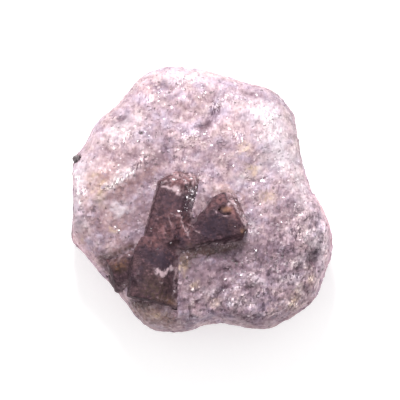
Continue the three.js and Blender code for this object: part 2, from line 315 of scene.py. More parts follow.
# Where the schist's colour departs from its silvery lilac. Each patch: x, y, half sizes, turn, strength.
# There is mauve that is also painted shade, in the hollows, on the shaded sides of the folds and over the
# lower field; painted shadow in umber brown at the feet of the crystals; blue-grey slate, whose broad patch
# over the lower field is painted shade too; rust; ochre; pale mica that is also painted light, along the lit
# crests, on the top and at the flank's sides; knots of mica with painted glints; and specks of ore.
MAUVE_AND_PAINTED_SHADE = [
    (-19.5, 18.5, 2.2, 1.5, 25, 0.8), (0.5, 16.7, 1.5, 0.8, 20, 1.93), (2.1, 18.7, 1, 1.7, -30, 0.6),
    (-1.3, 20.5, 1.5, 1.2, 0, 0.35), (-7.5, 24.1, 1, 2, -10, 0.5), (-9.4, 28.3, 1, 0.5, 0, 0.4),
    (-17.3, 8.8, 1.9, 0.9, 20, 1.1), (-20.2, 2, 2, 1, 35, 0.7), (-15.3, 3.4, 2.4, 1.2, 40, 1.7),
    (-12.8, 6.5, 1.2, 1.4, 30, 1.7), (-10.6, 9.6, 1, 0.7, 40, 0.6), (2.6, 9.9, 3.4, 1.7, 0, 0.3),
    (13.3, 25.4, 2.9, 0.9, -10, 0.5), (19.7, 21.4, 1, 2, 25, 0.35), (28.2, -15.2, 1.5, 1.8, 10, 1.95),
    (23.6, -17.8, 1.5, 0.9, 20, 0.9), (21.2, -14, 2, 1.2, 0, 0.5), (6.8, -17.5, 2.1, 1.2, 10, 1.63),
    (0.4, -19, 2.1, 2.4, 0, 1.11), (5.8, -22.5, 0.9, 1.1, 0, 0.8), (12.4, -22.9, 1.1, 1.4, 0, 0.7),
    (-0.9, -26.3, 0.7, 1, 0, 0.8), (-2.8, -29, 0.6, 2, 8, 0.8), (8.2, -28, 2.2, 0.9, 0, 0.5),
    (20.9, -27, 1.2, 1.5, 0, 0.6), (17.5, -13.5, 1.7, 1.5, 0, 0.4), (24.1, -12.3, 1.7, 1, 0, 0.5),
    (-20.4, -5.4, 2, 1.2, 0, 0.5), (-26.1, -7.4, 2.2, 1.2, 0, 0.35), (-30, -5.6, 1.2, 1.5, 0, 0.35),
    (-17.7, -12.3, 2.2, 1.5, 25, 0.8), (-21.9, -13.5, 2.5, 1, 25, 0.5), (-15.1, -27.3, 3.4, 1.2, 15, 0.5),
    (-4, -23.3, 1.2, 3.9, 0, 0.35), (3.3, -19.7, 4.9, 3.4, 0, 0.3), (-0.6, -2.2, 1, 2.1, -30, 2.74),
    (4.5, -28.3, 22.1, 8.8, 0, 0.1), (-15.1, 9.1, 5.4, 2, 30, 0.45), (-2.8, -17, 2.5, 1.7, 0, 0.8),
    (-0.4, -18.4, 5.9, 3.4, 0, 0.4), (8.2, -13.5, 5.4, 2, 8, 0.5), (-15.1, -25.8, 2.9, 1.2, -14, 0.5),
    (9.7, -16.8, 16.7, 7.2, 0, 0.81), (-15.8, -4.1, 2.8, 3.9, -15, 0.94), (21.2, -16.5, 3.9, 3.4, 0, 0.3),
    (-0.4, 8.2, 7.8, 2.9, 0, 0.3), (22.2, -5.1, 4.4, 4.4, 0, 0.5), (-19.9, -7, 2.3, 2, 0, 0.9),
    (-22.4, 11.6, 3.9, 2.9, 30, 0.35), (-10.2, 8.5, 2, 1.5, 0, 1), (11.9, -30.5, 4.3, 1.2, 0, 1.46),
    (-9.9, -30.6, 2.7, 1.3, 0, 0.91), (-10.2, 25.9, 2.5, 2, 0, 0.25), (-19, 0.3, 2.2, 1, 35, 0.6),
    (-12.6, -3.7, 1.2, 2.2, -10, 0.4), (11.4, -23.6, 1.2, 1, 0, 0.7), (-19, 2, 2, 1.2, 35, 0.5),
    (-18.7, 8.6, 1.2, 1, 0, 0.4), (-23.6, 10.6, 1.2, 1.2, 0, 0.4), (2.8, -18.9, 1.5, 1.2, 0, 0.4),
    (-19, 7.4, 2.9, 1.7, 30, 0.5), (-15.1, 8.2, 2, 1.7, 0, 0.5), (-23.9, 2.2, 2, 1.7, 0, 0.35),
    (-15.1, -6.6, 1.5, 2.5, -15, 0.6), (1.3, -1.2, 1.2, 1, 0, 0.5), (24.1, -2.4, 2, 2, 0, 0.45),
    (19.7, -6.9, 2, 2, 0, 0.4), (-4, -21.4, 1.7, 2, 0, 0.4), (19.7, -16.5, 2, 2, 0, 0.4),
    (5.5, 13.2, 1.8, 1.6, 0, 0.65), (-4.8, -16.5, 1.2, 2.9, 0, 0.3), (-0.1, -20.9, 1.7, 1.5, 0, 0.4),
    (-19.7, -16.5, 1.2, 1.2, 0, 0.4), (-10.6, 26.4, 1, 0.6, 20, 0.6), (-24.8, 3.7, 2.2, 1.7, 0, 0.35),
    (-20, 8.6, 1.7, 1.5, 0, 0.3), (-15.1, -1.2, 1.5, 1.5, 0, 0.3), (-15.1, -6.1, 1.5, 1.5, 0, 0.3),
    (-0.4, -21.1, 1.7, 1.5, 0, 0.4), (11.9, -31.2, 3.9, 1, 0, 0.7), (24.1, -1.9, 2, 2, 0, 0.3),
    (24.1, -6.6, 2, 2, 0, 0.25), (-0.1, -21.1, 1.7, 1.7, 0, 0.5), (-17.5, -6.4, 2.9, 1.5, 0, 0.35),
    (-20.2, -14.5, 1.2, 1, 0, 0.5), (-24.8, 3.5, 2, 1.7, 0, 0.3), (-5.3, 28.3, 2.2, 1.2, 0, 0.25),
    (21.9, -4.2, 3.4, 3.9, 0, 0.2), (22.2, -4.4, 2.2, 2.2, 0, 0.3), (-0.4, -21.1, 1.5, 1.5, 0, 0.3),
    (-19.5, 8.6, 1.7, 2, 0, 0.25), (-20.4, 19, 2, 1.2, 30, 0.25), (28, -4.9, 2, 4.4, 0, 0.3),
    (-10.2, 23.2, 2, 1.5, 0, 0.25), (22.6, -3.7, 2.2, 2, 0, 0.3),
]
PAINTED_UMBER_SHADOW = [
    (-23.4, -17.9, 1.1, 2.5, 10, 1.2), (-20.7, -14.5, 2.2, 0.9, 30, 1.2), (-17.3, -12.5, 1.5, 0.9, 25, 0.8),
    (-1.2, -13.9, 2.4, 1.1, 8, 2.21), (5, -13.5, 2.9, 0.7, 12, 0.8), (10.2, -11, 1, 1, 0, 0.6),
    (-5.3, -14.7, 1, 1.2, 0, 0.7), (-6.6, -22.1, 0.5, 3.9, -3, 0.9), (-12.6, -26.5, 2.9, 0.6, -14, 0.9),
    (8.3, -16.2, 0.9, 0.3, -20, 1.2), (0.4, -2.7, 0.5, 1.5, -30, 0.5), (-30.7, 9.1, 1, 1.2, 0, 0.4),
    (-4.3, -15.5, 1.7, 1.2, 20, 0.8), (1.4, -13.2, 2.1, 0.9, 8, 1.59), (-3.8, -16.5, 2, 1.5, 0, 0.5),
    (-15.1, -26.8, 2.6, 1, -14, 1.2), (-20, -16.5, 2.5, 1.2, 20, 0.5), (3.5, -12.8, 4.4, 0.6, 8, 0.8),
    (5, 1.1, 2, 0.6, 0, 0.6), (6, -12.8, 2.9, 0.7, 8, 0.9), (-3.3, -12.8, 2.5, 1.5, 0, 0.6),
    (-16, -28.8, 3.4, 1.2, -20, 0.45), (-21.9, -16.5, 1.2, 1.2, 0, 0.3),
    (-13.6, -30.2, 5.4, 1.5, -14, 0.35), (0.1, -0.2, 1, 2, -30, 0.35), (26.3, -17.9, 1, 1.2, 10, 0.35),
    (-23.6, -15.4, 1.3, 1.5, 30, 0.9),
]
SLATE = [
    (16.7, 7.9, 2, 1.1, -30, 1.01), (-14.8, -2.2, 1.7, 3.2, -15, 1.1), (-20.4, -4.9, 1.5, 1, 0, 0.5),
    (-26.3, -1.9, 1.5, 1.2, 0, 0.5), (-30, -4.9, 1.2, 2, 0, 0.5), (15.1, -16, 1.5, 1.7, 0, 0.9),
    (15.2, -27.4, 1.7, 1.2, 0, 1.6), (-0.9, 9.9, 2.9, 1.5, 0, 0.3), (21.7, -1.2, 3.4, 3.9, 0, 0.23),
    # The broad patch at (8.2, -17.4) darkens the whole lower field: painted shade in slate blue.
    (7.5, 3.2, 2, 1.2, 20, 0.5), (16.3, -22.1, 2, 2, 0, 0.4), (8.2, -17.4, 15.2, 6.4, 0, 0.45),
    (21.2, -6.6, 5.4, 3.4, 0, 0.23), (-17.5, -4.6, 2.9, 4.4, -10, 0.45), (0.9, -16.5, 6.4, 2, 8, 0.5),
    (13.1, -30.2, 4.9, 1.5, 0, 0.5), (6.5, -23.6, 2, 1.5, 0, 0.9), (-10.2, 26.6, 1.7, 1, 20, 0.6),
    (-8.2, 28.3, 1.2, 0.7, 0, 0.5), (-20, -6.4, 1.7, 1.5, 0, 0.35), (-9.9, 26.9, 1.5, 1, 20, 0.5),
]
RUST = [
    (-13.6, 4.7, 2.5, 1.7, 45, 0.8), (-20.2, 2.4, 2.7, 1.5, 30, 1.3), (-25.6, 2.5, 2.7, 1.7, 60, 0.7),
    (-30, -10.3, 1.2, 1.1, 0, 1.6), (8.2, 0.5, 1.7, 0.5, -45, 1.4), (9.9, -1.4, 0.5, 1, 10, 1.4),
    (-13.1, -29, 5.8, 1.6, -14, 1.51), (19.7, -25.8, 2.5, 2.2, 0, 0.4), (8.4, 11.6, 2.9, 2, 0, 0.4),
    (-22.4, -12.3, 2.9, 2, 0, 0.4), (-27.3, -14.7, 2, 1.5, -40, 0.4), (-23.6, 0, 7.3, 7.8, 0, 0.78),
    (-20, -7.4, 3.4, 2.5, 0, 0.3), (5.5, 1.3, 2.2, 0.9, -5, 1.5), (-18, 5.7, 1, 0.7, 45, 0.6),
    (-12.1, 6.7, 1.2, 1.2, 40, 0.8), (11.9, -32.7, 7.3, 1.2, 0, 0.4), (30.5, -4.9, 1, 3.4, 0, 0.4),
    (31.5, -13.5, 1, 3.4, 0, 0.8), (-12.6, -30.2, 5.9, 1.5, -14, 1), (24.8, -23.8, 2, 2, 0, 0.5),
]
OCHRE = [
    (12.6, 6.4, 2, 1.2, 20, 1), (10.6, 11.6, 1.5, 1.2, 0, 0.7), (16.3, -0.5, 2, 1.5, 0, 0.8),
    (-4.3, -17, 0.9, 2, 0, 1.2), (-25.1, 1.3, 2.2, 1.5, 50, 0.7), (-26.6, 4.7, 1.7, 1, 20, 0.5),
    (-24.4, -1.9, 1, 2, 0, 0.5), (-21.9, -8.6, 1.2, 0.7, 0, 0.7), (-30, -10.6, 0.7, 0.6, 0, 0.9),
    (3.1, -26.1, 1, 1, 0, 0.6), (22.4, -26.1, 1, 1.5, 0, 0.7), (23.9, -23.3, 0.7, 1.5, 0, 0.6),
    (26.6, -20.2, 1, 1, 0, 0.6), (-1.6, -22.1, 1.2, 1.2, 0, 0.5), (-11.9, -29, 5.4, 1.2, -14, 0.54),
]
PALE_MICA_AND_PAINTED_LIGHT = [
    (15.8, 19.7, 5.4, 3.9, -20, 0.72), (18.2, 13.6, 3.4, 4.9, 0, 0.8), (23.1, 8.6, 2, 3.9, 0, 0.7),
    (-4, 29.6, 7.3, 1.7, -5, 0.6), (-20, 16, 5.4, 2.2, 35, 0.5), (-29.3, 6.2, 2, 3.9, 0, 0.7),
    (-30.7, 0, 1.5, 5.4, 0, 0.6), (-20.3, -3.2, 1.9, 1.4, -20, 1.41), (30.5, -14.7, 1.2, 8.8, 0, 0.9),
    (25.1, 0, 2, 4.9, 0, 0.5), (-30.2, -7.4, 1.5, 3.4, 0, 0.4), (11.9, -6.6, 0.5, 2.9, 28, 1),
    (8.9, -25.8, 4.9, 1.2, 0, 0.3), (-18.5, 5, 2.9, 0.9, 40, 1), (-21.9, 2.5, 1.7, 0.9, 30, 0.8),
    (27.1, -10.6, 1.7, 2.5, 20, 0.59), (28.5, -15, 0.7, 2.9, 0, 0.7), (24.1, -16.5, 2, 2, 0, 0.5),
    (12.4, -19.7, 2, 2, 0, 0.3), (2.1, -24.1, 1.7, 1.2, 0, 0.4), (19.7, 7.2, 2.5, 2.2, 0, 0.5),
    (24.8, 3.2, 2, 2, 0, 1), (9.4, 3.2, 2, 1.7, 0, 0.5), (29.3, -6.6, 1.2, 2.5, 0, 0.6),
    (-25.1, -1.7, 2, 1.5, 0, 0.5), (19.5, -26.3, 2.2, 1.2, 0, 0.5), (20.2, 11.1, 2.2, 2, 0, 0.6),
    (14.8, 6.2, 1.7, 1.7, 0, 0.5), (24.4, -23.3, 1.5, 2, 0, 0.5), (29.3, -13.5, 1, 3.9, 0, 0.7),
    (28.5, -22.1, 1.2, 2, 0, 0.5), (14.3, -21.1, 1.7, 1.5, 0, 0.3), (4.5, 23.2, 1.7, 1.5, 0, 0.25),
    (-15.1, 13.3, 1.7, 1.5, 0, 0.25), (9.4, 3.7, 1.7, 1.5, 0, 0.25), (-12.6, -31.2, 4.4, 1, -14, 0.25),
    (18, 8.6, 2.5, 2, 0, 0.35), (21.2, -20.9, 2.5, 1.7, 0, 0.45), (28, -4.9, 2, 4.4, 0, 0.2),
]
MICA_KNOTS_AND_PAINTED_GLINTS = [
    (-13.1, 24.1, 1.5, 1.7, 60, 0.75), (-4, 28.8, 2.2, 1.2, 0, 0.9), (3.3, 21.4, 1.5, 2, -30, 0.9),
    (-18, 14.3, 3.2, 1, 30, 1), (-2.8, 14.8, 2.5, 1, 15, 1), (9.4, 14.3, 1.5, 1.7, 40, 0.9),
    (14.8, 21.4, 3.4, 2.2, -20, 0.28), (18, 16.5, 2.9, 3.4, 0, 0.24), (-14.1, 10.4, 1.2, 1.5, 45, 0.45),
    (7.5, 24.6, 2, 1.5, 0, 0.5), (-18.5, 4.7, 2.2, 0.7, 38, 1.3), (-16.3, 6.7, 1.7, 0.7, 45, 1.4),
    (-14.8, 8.6, 1.2, 1, 45, 1.3), (-22.4, 2.2, 1.2, 0.7, 30, 1.1), (-29.3, 1, 1.2, 1, 0, 0.9),
    (-30.7, 4.2, 1.2, 1.5, 0, 0.8), (-24.4, 5.7, 1, 0.7, 30, 0.7), (-21.2, -8.1, 0.37, 0.37, 0, 1.5),
    (-15.5, -8.8, 0.49, 0.37, 0, 1.4), (-28.8, -5.9, 0.7, 0.7, 0, 0.9), (-29.7, -1.7, 0.49, 0.49, 0, 0.8),
    (-13.8, -1.9, 0.37, 0.37, 0, 1), (24.1, -9.3, 2.5, 1.5, -20, 1.2), (17, -10.6, 0.49, 0.49, 0, 1.4),
    (26.1, -14.7, 0.7, 1.2, -20, 1), (22.9, -16.2, 1.5, 1, 20, 0.9), (26.6, -17.4, 1.5, 0.7, -20, 1.2),
    (22.2, -19.9, 2, 0.5, 0, 1.3), (12.6, -20.2, 0.49, 0.49, 0, 1.3), (14.6, -23.8, 0.9, 1.5, -30, 1.3),
    (9.4, -26.3, 2.9, 0.9, -8, 1.3), (3.1, -26.1, 0.9, 1, 0, 1.1), (22.4, -26.1, 0.9, 1.5, -20, 1.1),
    (23.6, -23.3, 0.7, 1.5, 0, 1), (26.6, -20.2, 0.9, 0.9, 0, 0.9), (13.1, -15.2, 0.5, 0.9, 0, 1),
    (-1.8, -22.1, 1.2, 1, 0, 0.9), (2.8, -14.2, 1, 0.6, 0, 1), (9.2, -22.1, 0.5, 1, 0, 0.8),
    (19.7, -11.8, 1, 0.7, 0, 0.7), (23.6, -4.9, 2.5, 2, 0, 0.5), (11.9, -8.6, 0.5, 1.2, 20, 0.8),
    (0.9, -16.5, 2, 1.2, 10, 0.5),
]
SPECKS = [
    (-14.8, 15.4, 0.56, 0.42, 0, 1.1), (-15.3, 13.3, 0.24, 0.32, 0, 1), (-11.5, 21.6, 0.24, 0.24, 0, 1),
    (-13.2, 21.9, 0.24, 0.24, 0, 1), (-8, 25.4, 0.34, 0.29, 0, 1), (-10.6, 28.2, 0.27, 0.24, 0, 1),
    (28.8, -18.4, 0.42, 0.27, 0, 1), (22.5, -19.4, 0.37, 0.24, 0, 1), (-3.5, -20.2, 0.29, 0.34, 0, 1),
    (19.5, -12.3, 0.27, 0.27, 0, 1), (-30, -3.7, 0.24, 0.27, 0, 1), (-23.4, -3.2, 0.27, 0.27, 0, 1),
    (10.6, 11.4, 0.24, 0.24, 0, 0.8),
]


def patches(points, spots, ragged, seed, torn=1.3):
    """How strongly each point lies in the spots, ragged by so many millimetres and torn into shreds."""
    shift = np.stack([rough(points / 2.2, seed + k, 3) for k in range(3)], 1) * ragged
    total = np.zeros(len(points))
    for x, y, along, across, turn, strength in spots:
        total += strength * oval(points + shift, (x, y), (along, across), turn)
    broken = np.clip(1 + torn * rough(points / 0.9, seed + 7, 3), 0, 2.2)
    return np.clip(total * broken, 0, 1)


upward = np.clip(outward[:, 2] * 1.5, 0, 1)
# The relief colours the face as painted shade in the hollows and painted light on the swells.
mark(slab.data, "painted_relief_shade", np.clip(0.5 + height / 1.4, 0, 1))
mark(slab.data, "slate", upward * patches(places, SLATE, 1.6, 81))
# Mauve that is also painted shade in the hollows, on the shaded sides of the folds and over the lower field.
mark(slab.data, "mauve_and_painted_shade", upward * patches(places, MAUVE_AND_PAINTED_SHADE, 0.8, 83))
# Painted shadow in umber brown at the feet of the crystals, eased off right at the contact.
mark(slab.data, "painted_umber_shadow", np.sqrt(upward) * (1 - 0.5 * bank) * patches(places, PAINTED_UMBER_SHADOW, 0.5, 82))
# Where glints are painted into the colour; the same knots also gather more mica plates.
mark(slab.data, "painted_glint", upward * patches(places, MICA_KNOTS_AND_PAINTED_GLINTS, 0.5, 85))
ore = sum(strength * oval(places, (x, y), (a, b), turn) for x, y, a, b, turn, strength in SPECKS)
mark(slab.data, "speck", upward * np.clip(2.5 * ore - 0.6, 0, 1))
mark(slab.data, "rust", np.sqrt(upward) * patches(places, RUST, 1.6, 84))
mark(slab.data, "ochre", upward * patches(places, OCHRE, 1.0, 87))
# Pale mica that is also painted light along the lit crests, on the top and at the flank's sides.
mark(slab.data, "pale_mica_and_painted_light", np.sqrt(upward) * patches(places, PALE_MICA_AND_PAINTED_LIGHT, 1.6, 90, 0.7))
# Painted light: the flank is painted lighter in a band across the middle of its left and right sides.
painted_light_band = np.exp(-(((places[:, 1] + 8) / 15) ** 2))
mark(slab.data, "rim", flank * np.clip((places[:, 2] - 9) / 4, 0, 1) * painted_light_band)
# Darker towards the foot of the flank and on the underside.
mark(slab.data, "darker_towards_foot", flank * np.clip((11 - places[:, 2]) / 5, 0, 1) + under)
mark(slab.data, "coarse", upward * (coarse - 1))
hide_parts("schist_matrix")
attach(slab, "root")


def add(tree, kind, inputs=(), **settings):
    """A node with these settings, whose inputs are values or other nodes' outputs."""
    made = tree.nodes.new(kind)
    for name, value in settings.items():
        setattr(made, name, value)
    for place, value in inputs.items() if isinstance(inputs, dict) else enumerate(inputs):
        if isinstance(value, bpy.types.NodeSocket):
            tree.links.new(value, made.inputs[place])
        elif value is not None:
            made.inputs[place].default_value = value
    return made


def ramp(tree, value, stops):
    """A colour for each value, between the stops, which are (value, (red, green, blue))."""
    made = add(tree, "ShaderNodeValToRGB", [value])
    elements = made.color_ramp.elements
    elements.remove(elements[1])
    for i, (position, colour) in enumerate(stops):
        stop = elements[0] if i == 0 else elements.new(position)
        stop.position = position
        stop.color = (*colour, 1)
    return made.outputs["Color"]


def math_of(tree, operation, *values):
    """The result of a math operation on these values."""
    return add(tree, "ShaderNodeMath", values, operation=operation).outputs[0]


def blend(tree, share, first, second, way="MIX"):
    """first and second mixed in this share."""
    made = add(tree, "ShaderNodeMix", {0: share, 6: first, 7: second}, data_type="RGBA", blend_type=way)
    return made.outputs[2]


def times(tree, colour, change):
    """A colour made lighter or darker by another."""
    return blend(tree, 1.0, colour, change, "MULTIPLY")


def marked(tree, name):
    """The value that the mesh keeps under this name."""
    return add(tree, "ShaderNodeAttribute", attribute_name=name).outputs["Fac"]


def effect(name, inputs, outputs):
    """An empty node group with these sockets: each input is (name, kind, value), each output (name, kind)."""
    group = bpy.data.node_groups.new(name, "ShaderNodeTree")
    for label, kind, value in inputs:
        socket = group.interface.new_socket(label, in_out="INPUT", socket_type=kind)
        socket.default_value = value
    for label, kind in outputs:
        group.interface.new_socket(label, in_out="OUTPUT", socket_type=kind)
    return group, group.nodes.new("NodeGroupInput").outputs, group.nodes.new("NodeGroupOutput").inputs


def washed(tree, colour, name, share, tint):
    """A colour under a wash of another, in this share where the mesh is marked with this name."""
    return blend(tree, math_of(tree, "MULTIPLY", marked(tree, name), share), colour, (*tint, 1))


def placed(tree, group, **values):
    """The outputs of a group put in a material with these values."""
    made = tree.nodes.new("ShaderNodeGroup")
    made.node_tree = group
    for key, value in values.items():
        socket = made.inputs[key.replace("_", " ")]
        if isinstance(value, bpy.types.NodeSocket):
            tree.links.new(value, socket)
        else:
            socket.default_value = value
    return made.outputs


FLOAT, VECTOR, COLOUR = "NodeSocketFloat", "NodeSocketVector", "NodeSocketColor"

# Mottling: cloudy patches of this size, in millimetres.
mottling, given, made = effect(
    "mottling", [("Size", FLOAT, 3.0), ("Shift", FLOAT, 0.0), ("Contrast", FLOAT, 2.0)], [("Value", FLOAT)]
)
where = add(mottling, "ShaderNodeTexCoord").outputs["Object"]
scale = math_of(mottling, "DIVIDE", 1 / MM, given["Size"])
scaled = add(mottling, "ShaderNodeVectorMath", {0: where, "Scale": scale}, operation="SCALE").outputs[0]
moved = add(mottling, "ShaderNodeVectorMath", [scaled, given["Shift"]], operation="ADD").outputs[0]
cloud = add(mottling, "ShaderNodeTexNoise", {"Vector": moved, "Scale": 1.0, "Detail": 4.0, "Roughness": 0.6})
centred = math_of(mottling, "SUBTRACT", cloud.outputs["Fac"], 0.5)
spread = math_of(mottling, "MULTIPLY", centred, given["Contrast"])
lifted = add(mottling, "ShaderNodeMath", [spread, 0.5], operation="ADD", use_clamp=True).outputs[0]
mottling.links.new(lifted, made["Value"])

# Mineral grains of this size, in millimetres: two random numbers for each grain, and a normal tilted grain by
# grain, so that mica faces catch the light one by one.
mineral, given, made = effect(
    "mineral grains",
    [
        ("Size", FLOAT, 0.7), ("Tilt", FLOAT, 0.5), ("Shift", FLOAT, 0.0), ("Length", FLOAT, 1.0),
        ("Turn", FLOAT, 0.6),
    ],
    [("Lot", FLOAT), ("Second Lot", FLOAT), ("Normal", VECTOR)],
)
where = add(mineral, "ShaderNodeTexCoord").outputs["Object"]
turned = add(
    mineral, "ShaderNodeVectorRotate", {"Vector": where, "Angle": given["Turn"]}, rotation_type="Z_AXIS"
)
shorter = math_of(mineral, "DIVIDE", 1.0, given["Length"])
squeeze = add(mineral, "ShaderNodeCombineXYZ", [shorter, 1.0, 1.0]).outputs[0]
where = add(mineral, "ShaderNodeVectorMath", [turned.outputs[0], squeeze], operation="MULTIPLY").outputs[0]
scale = math_of(mineral, "DIVIDE", 1 / MM, given["Size"])
scaled = add(mineral, "ShaderNodeVectorMath", {0: where, "Scale": scale}, operation="SCALE").outputs[0]
moved = add(mineral, "ShaderNodeVectorMath", [scaled, given["Shift"]], operation="ADD").outputs[0]
wander = add(mineral, "ShaderNodeTexNoise", {"Vector": moved, "Scale": 1.3, "Detail": 2.0}).outputs["Color"]
wandered = add(mineral, "ShaderNodeVectorMath", [wander, (0.5, 0.5, 0.5)], operation="SUBTRACT").outputs[0]
ragged = add(mineral, "ShaderNodeVectorMath", {0: wandered, "Scale": 0.7}, operation="SCALE").outputs[0]
torn = add(mineral, "ShaderNodeVectorMath", [moved, ragged], operation="ADD").outputs[0]
cells = add(mineral, "ShaderNodeTexVoronoi", {"Vector": torn, "Scale": 1.0}, feature="F1")
parts = add(mineral, "ShaderNodeSeparateColor", [cells.outputs["Color"]]).outputs
mineral.links.new(parts[0], made["Lot"])
mineral.links.new(parts[1], made["Second Lot"])
off = add(mineral, "ShaderNodeVectorMath", [cells.outputs["Color"], (0.5, 0.5, 0.5)], operation="SUBTRACT")
lean = add(mineral, "ShaderNodeVectorMath", {0: off.outputs[0], "Scale": given["Tilt"]}, operation="SCALE")
facing = add(mineral, "ShaderNodeNewGeometry").outputs["Normal"]
tilted = add(mineral, "ShaderNodeVectorMath", [facing, lean.outputs[0]], operation="ADD").outputs[0]
unit = add(mineral, "ShaderNodeVectorMath", [tilted], operation="NORMALIZE").outputs[0]
mineral.links.new(unit, made["Normal"])

# The schist's colour: silvery lilac, pink and tan in clouds, with slate blue, rust, ochre and pale
# patches where the slab is marked for them, painted shade in the hollows, painted shadow at the crystals'
# feet, painted light on the lit crests and the flank's sides, and painted glints. Its grains lie along one
# direction, in radians.
GRAIN_TURN = -1.45
schist_colour, _, made = effect("schist colour", [], [("Color", COLOUR)])
broad = placed(schist_colour, mottling, Size=7.0, Contrast=3.0)["Value"]
warm = placed(schist_colour, mottling, Size=3.6, Shift=7.0, Contrast=3.4)["Value"]
middling = placed(schist_colour, mottling, Size=1.9, Shift=23.0, Contrast=3.0)["Value"]
grain_out = placed(schist_colour, mineral, Size=0.42, Length=2.0, Turn=GRAIN_TURN)
colour = ramp(schist_colour, broad, [
    (0.2, (0.345, 0.258, 0.318)), (0.5, (0.400, 0.282, 0.326)), (0.8, (0.428, 0.300, 0.326)),
])
colour = blend(schist_colour, 0.5, colour, ramp(schist_colour, warm, [
    (0.1, (0.320, 0.250, 0.325)), (0.4, (0.400, 0.280, 0.325)), (0.65, (0.440, 0.302, 0.322)),
    (0.9, (0.455, 0.332, 0.322)),
]))
colour = times(schist_colour, colour, ramp(schist_colour, middling, [
    (0.1, (0.68, 0.64, 0.67)), (0.5, (1, 1, 1)), (0.9, (1.18, 1.25, 1.24)),
]))
colour = times(schist_colour, colour, ramp(schist_colour, grain_out["Lot"], [
    (0.0, (0.74, 0.69, 0.73)), (0.14, (0.90, 0.885, 0.90)), (0.5, (1, 1, 1)), (0.86, (1.07, 1.085, 1.08)),
    (1.0, (1.18, 1.25, 1.23)),
]))
# The mauve wash is also painted shade, the umber one is painted shadow and the pale one is also painted
# light.
for label, share, tint in (
    ("slate", 0.6, (0.20, 0.155, 0.235)), ("mauve_and_painted_shade", 0.75, (0.175, 0.105, 0.130)),
    ("rust", 0.5, (0.34, 0.195, 0.175)), ("ochre", 0.55, (0.53, 0.38, 0.235)),
    ("pale_mica_and_painted_light", 0.56, (0.655, 0.592, 0.63)), ("painted_umber_shadow", 0.92, (0.072, 0.032, 0.029)),
):
    colour = washed(schist_colour, colour, label, share, tint)
# Painted glints: in the marked knots some grains are painted up to two and a half times as bright, in silver.
silk = placed(schist_colour, mineral, Size=0.34, Shift=90.0, Length=2.6, Turn=GRAIN_TURN)["Lot"]
painted_glint_colour = times(schist_colour, colour, ramp(schist_colour, silk, [
    (0.0, (0.66, 0.62, 0.66)), (0.4, (1.0, 1.0, 1.0)), (0.6, (1.5, 1.62, 1.5)), (1.0, (2.3, 2.6, 2.4)),
]))
colour = blend(schist_colour, marked(schist_colour, "painted_glint"), colour, painted_glint_colour)
colour = blend(schist_colour, marked(schist_colour, "speck"), colour, (0.05, 0.025, 0.03, 1))
pocks = placed(schist_colour, mineral, Size=0.6, Shift=60.0, Length=1.6, Turn=GRAIN_TURN)["Lot"]
pocked = ramp(schist_colour, pocks, [
    (0.0, (0.39, 0.34, 0.37)), (0.16, (0.68, 0.645, 0.67)), (0.4, (0.99, 0.975, 0.985)),
    (0.85, (1.12, 1.115, 1.11)), (1.0, (1.5, 1.54, 1.49)),
])
blotches = placed(schist_colour, mottling, Size=3.4, Shift=51.0, Contrast=3.6)["Value"]
pocked = times(schist_colour, pocked, ramp(schist_colour, blotches, [
    (0.1, (0.70, 0.67, 0.72)), (0.5, (1, 1, 1)), (0.9, (1.24, 1.26, 1.24)),
]))
coarsened = times(schist_colour, colour, pocked)
colour = blend(schist_colour, marked(schist_colour, "coarse"), colour, coarsened)
# Painted light on the flank's sides where marked rim, darker towards the foot of the flank and on the
# underside, and painted shade in the hollows with painted light on the swells.
for label, stops in (
    ("rim", [(0.0, (1, 1, 1)), (1.0, (1.62, 1.455, 1.51))]),
    ("darker_towards_foot", [(0.0, (1, 1, 1)), (1.0, (0.78, 0.72, 0.725))]),
    ("painted_relief_shade", [(0.1, (0.62, 0.56, 0.60)), (0.5, (1, 1, 1)), (0.9, (1.12, 1.12, 1.12))]),
):
    colour = times(schist_colour, colour, ramp(schist_colour, marked(schist_colour, label), stops))
schist_colour.links.new(colour, made["Color"])


def new_material(name):
    """A material, its node tree and its surface shader."""
    material = bpy.data.materials.new(name)
    material.use_nodes = True
    return material, material.node_tree, material.node_tree.nodes["Principled BSDF"]


schist, tree, surface = new_material("muscovite schist")
grain_out = placed(tree, mineral, Size=0.5, Tilt=0.29, Length=1.7, Turn=GRAIN_TURN)
colour = placed(tree, schist_colour)["Color"]
speck = math_of(tree, "LESS_THAN", placed(tree, mineral, Size=0.6, Shift=20.0)["Second Lot"], 0.015)
colour = blend(tree, math_of(tree, "MULTIPLY", speck, 0.6), colour, (0.07, 0.05, 0.06, 1))
tree.links.new(colour, surface.inputs["Base Color"])
tree.links.new(grain_out["Normal"], surface.inputs["Normal"])
gloss = add(tree, "ShaderNodeMapRange", [grain_out["Second Lot"], 0.0, 1.0, 0.4, 0.75]).outputs[0]
tree.links.new(gloss, surface.inputs["Roughness"])
surface.inputs["Specular IOR Level"].default_value = 0.35
slab.data.materials.append(schist)

# ---------------------------------------------------------------- the mica plates
# Loose-edged plates of muscovite, a few tenths of a millimetre to a millimetre wide, that stand a little
# out of the felt all over the slab and flash where they face the lamp. A few plates are dark biotite.
PLATE_CORNERS = 5
PLATE_THICKNESS = 0.07
PLATE_NARROWNESS = 0.75
MUSCOVITE_COUNT = 11500
MUSCOVITE_RADIUS = (0.18, 0.62)
BIOTITE_COUNT = 320
BIOTITE_RADIUS = (0.12, 0.3)
SLAB_SHARE_KEPT = 0.8


